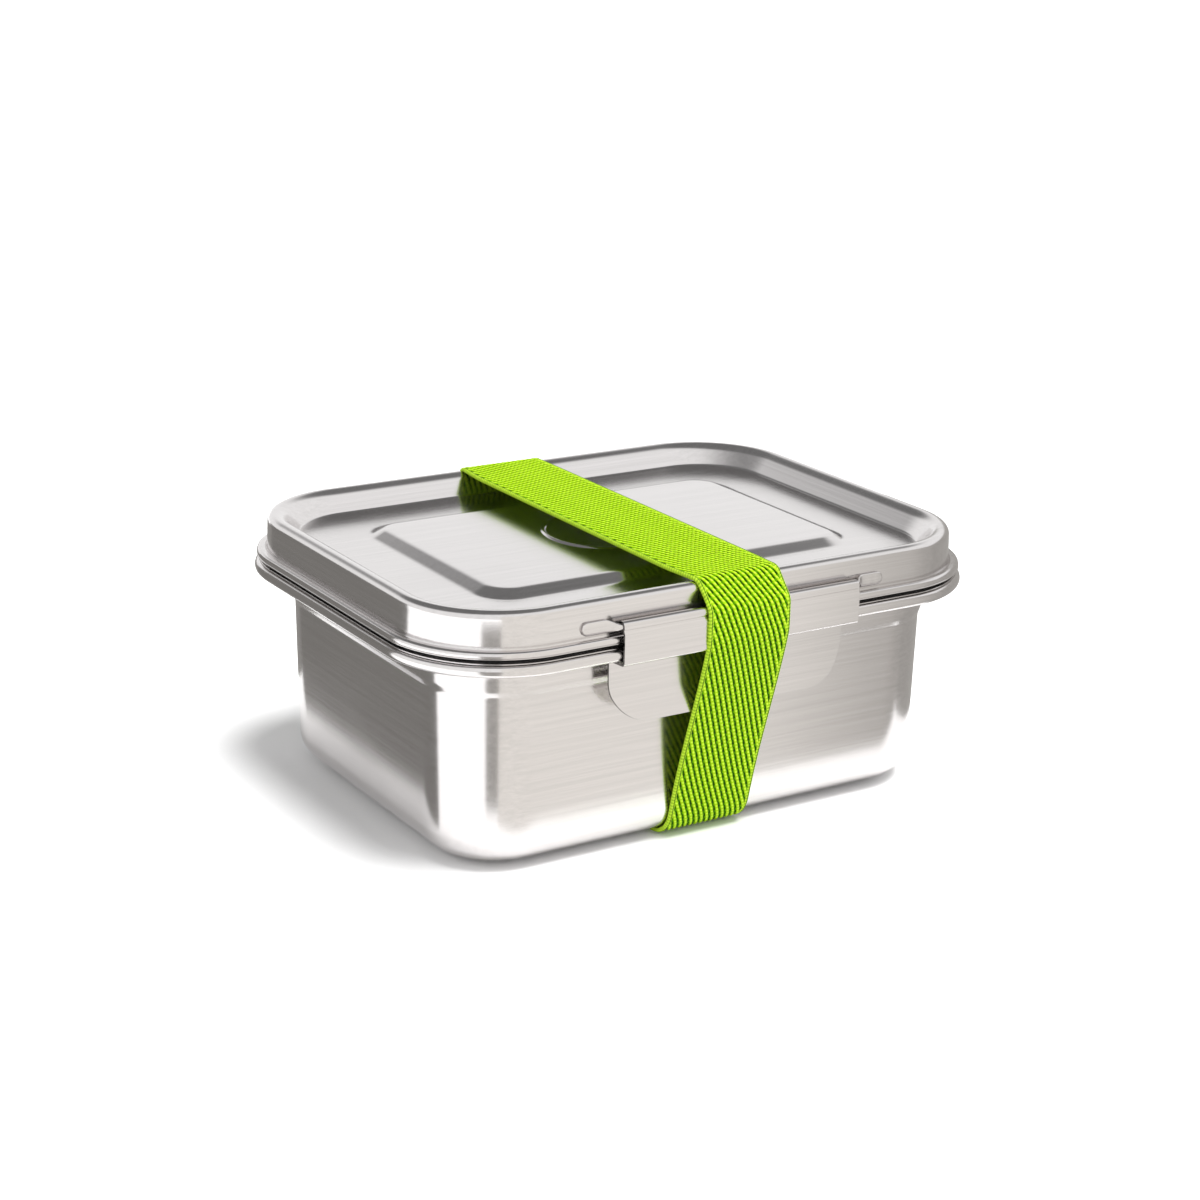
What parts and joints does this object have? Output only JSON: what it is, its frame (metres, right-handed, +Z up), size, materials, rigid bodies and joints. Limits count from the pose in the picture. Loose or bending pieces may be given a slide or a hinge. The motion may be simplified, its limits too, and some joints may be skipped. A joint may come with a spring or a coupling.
{
  "type": "lunch box",
  "caption": "Rectangular steel lunch box with a lift-off lid, a hinged clip on each long side and a green elastic band round it.",
  "frame": {"origin": "below the middle of the box, on the underside of the elastic band that it stands on", "axes": "+X along the long side, -Y towards the front clip, +Z up out of the lid"},
  "size_m": [0.17, 0.1358, 0.0726],
  "materials": {
    "steel": "fine brushed stainless steel",
    "wire": "drawn steel wire with flattened ends",
    "silicone": "matte dark grey silicone",
    "webbing": "ribbed woven elastic, lime green with dark green gaps",
    "thread": "twisted sewing thread, lime green"
  },
  "bodies": {
    "tub": {"tub": "steel"},
    "lid": {"lid": "steel", "seal": "silicone", "front_hinge_wire": "wire", "rear_hinge_wire": "wire"},
    "front_clip": {"front_clip": "steel"},
    "rear_clip": {"rear_clip": "steel"},
    "band": {"band_top": "webbing", "band_base": "webbing"},
    "band_front": {"band_front": "webbing"},
    "band_rear": {"band_rear": "webbing", "band_stitching": "thread"}
  },
  "joints": [
    {"name": "lid_lift", "type": "slide", "parent": "tub", "child": "lid", "axis": [0, 0, 1], "range_m": [0, 0.15]},
    {"name": "front_clip_hinge", "type": "hinge", "parent": "lid", "child": "front_clip", "pos_m": [0, -0.0642, 0.0645], "axis": [-1, 0, 0], "range_deg": [0, 110]},
    {"name": "rear_clip_hinge", "type": "hinge", "parent": "lid", "child": "rear_clip", "pos_m": [0, 0.0642, 0.0645], "axis": [1, 0, 0], "range_deg": [0, 110]},
    {"name": "band_slide", "type": "slide", "parent": "tub", "child": "band", "axis": [1, 0, 0], "range_m": [-0.11, 0.11]},
    {"name": "band_front_give", "type": "hinge", "parent": "band", "child": "band_front", "pos_m": [0, -0.0642, 0.0645], "axis": [-1, 0, 0], "range_deg": [0, 110], "deforming": ["band_front"]},
    {"name": "band_rear_give", "type": "hinge", "parent": "band", "child": "band_rear", "pos_m": [0, 0.0642, 0.0645], "axis": [1, 0, 0], "range_deg": [0, 110], "deforming": ["band_rear", "band_stitching"]}
  ],
  "couplings": [
    {"joint": "band_front_give", "follows": "front_clip_hinge", "ratio": 1},
    {"joint": "band_rear_give", "follows": "rear_clip_hinge", "ratio": 1}
  ]
}
